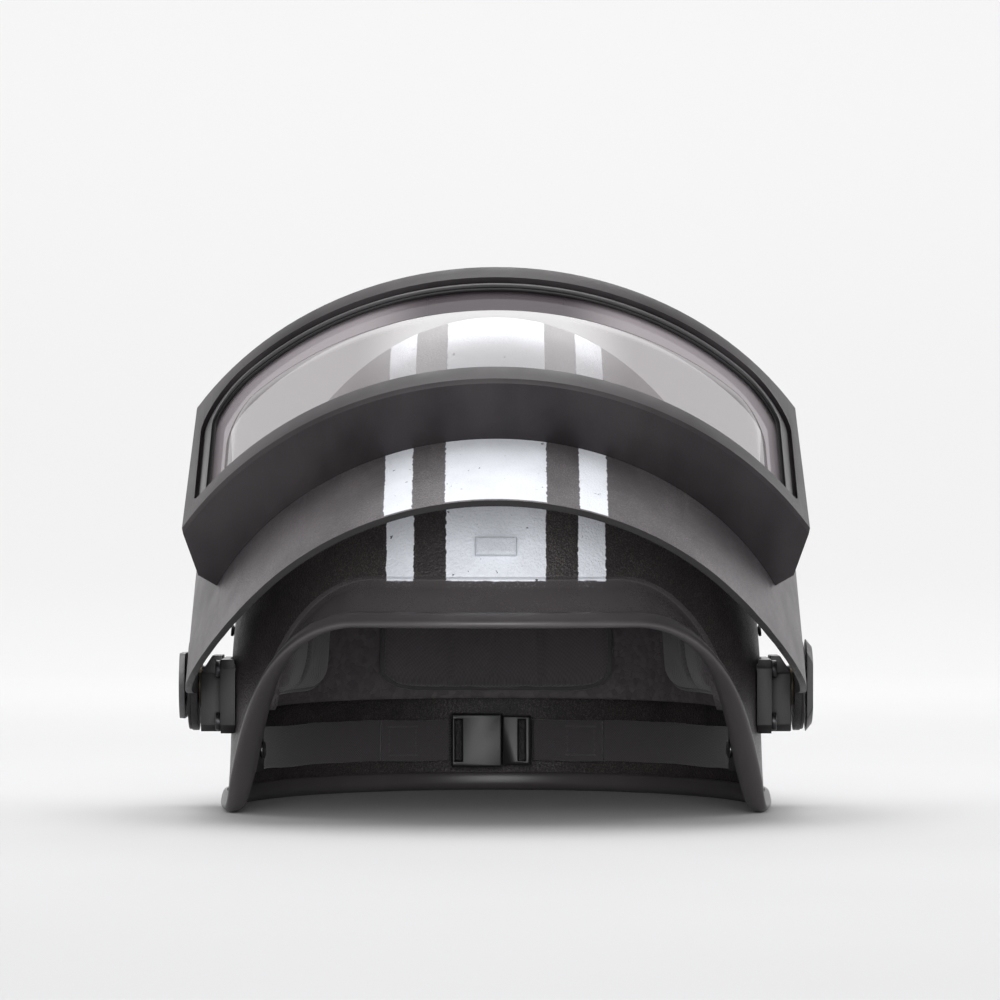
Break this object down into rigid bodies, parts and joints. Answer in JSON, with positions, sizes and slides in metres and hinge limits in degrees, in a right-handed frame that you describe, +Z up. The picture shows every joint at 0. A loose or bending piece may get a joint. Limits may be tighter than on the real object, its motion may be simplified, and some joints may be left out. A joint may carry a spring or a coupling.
{
  "type": "military helmet",
  "caption": "Military helmet with a liner, chin strap and a heavy windowed face visor that swings up on side hinges with clamp knobs.",
  "frame": {"origin": "middle of the outline on the resting plane, visor raised", "axes": "+Z up, -Y out of the face opening, +X to the wearer's left, which is on the right in a view from the front"},
  "size_m": [0.294, 0.3389, 0.2489],
  "materials": {
    "shell_paint": "pebbled matt paint",
    "trim_rubber": "smooth",
    "white_paint": "matt",
    "liner_foam": "matt",
    "spacer": "matt",
    "pad_fabric": "brushed",
    "webbing": "woven",
    "anchor_steel": "satin",
    "buckle_plastic": "satin",
    "bracket_paint": "satin",
    "steel": "satin",
    "washer_brass": "satin",
    "visor_paint": "fine sand paint",
    "frame_paint": "satin moulding",
    "gasket_rubber": "matt",
    "window": "smoky, polished"
  },
  "bodies": {
    "helmet": {"shell": "shell_paint", "edge_trim": "trim_rubber", "brow_block": "white_paint", "liner_bowl": "liner_foam", "liner_spacers": "spacer", "crown_pad": "pad_fabric", "brow_pad": "pad_fabric", "nape_pad": "pad_fabric", "side_pad_left": "pad_fabric", "side_pad_right": "pad_fabric", "strap_left": "webbing", "strap_right": "webbing", "strap_anchors": "anchor_steel", "anchor_rivets": "steel", "buckle_plug": "buckle_plastic", "buckle_socket": "buckle_plastic", "base_plate_left": "bracket_paint", "base_plate_right": "bracket_paint", "hinge_block_left": "bracket_paint", "hinge_block_right": "bracket_paint", "bracket_screws": "steel", "bracket_nuts": "steel", "pivot_pin_left": "steel", "pivot_pin_right": "steel", "stop_pegs": "steel", "inner_washers": "washer_brass", "outer_washers": "steel"},
    "visor": {"visor_plate": "visor_paint", "hinge_plate_left": "visor_paint", "hinge_plate_right": "visor_paint", "window_frame": "frame_paint", "window_gasket": "gasket_rubber", "window_pane": "window", "window_bezel": "frame_paint", "frame_screws": "steel"},
    "knob_left": {"knob_left": "bracket_paint"},
    "knob_right": {"knob_right": "bracket_paint"}
  },
  "joints": [
    {"name": "visor_hinge", "type": "hinge", "parent": "helmet", "child": "visor", "pos_m": [0, 0.0117, 0.057], "axis": [1, 0, 0], "range_deg": [0, 60]},
    {"name": "knob_left_turn", "type": "hinge", "parent": "helmet", "child": "knob_left", "pos_m": [0.145, 0.0117, 0.057], "axis": [1, 0, 0], "range_deg": [0, 90]},
    {"name": "knob_right_turn", "type": "hinge", "parent": "helmet", "child": "knob_right", "pos_m": [-0.145, 0.0117, 0.057], "axis": [1, 0, 0], "range_deg": [-90, 0]}
  ]
}
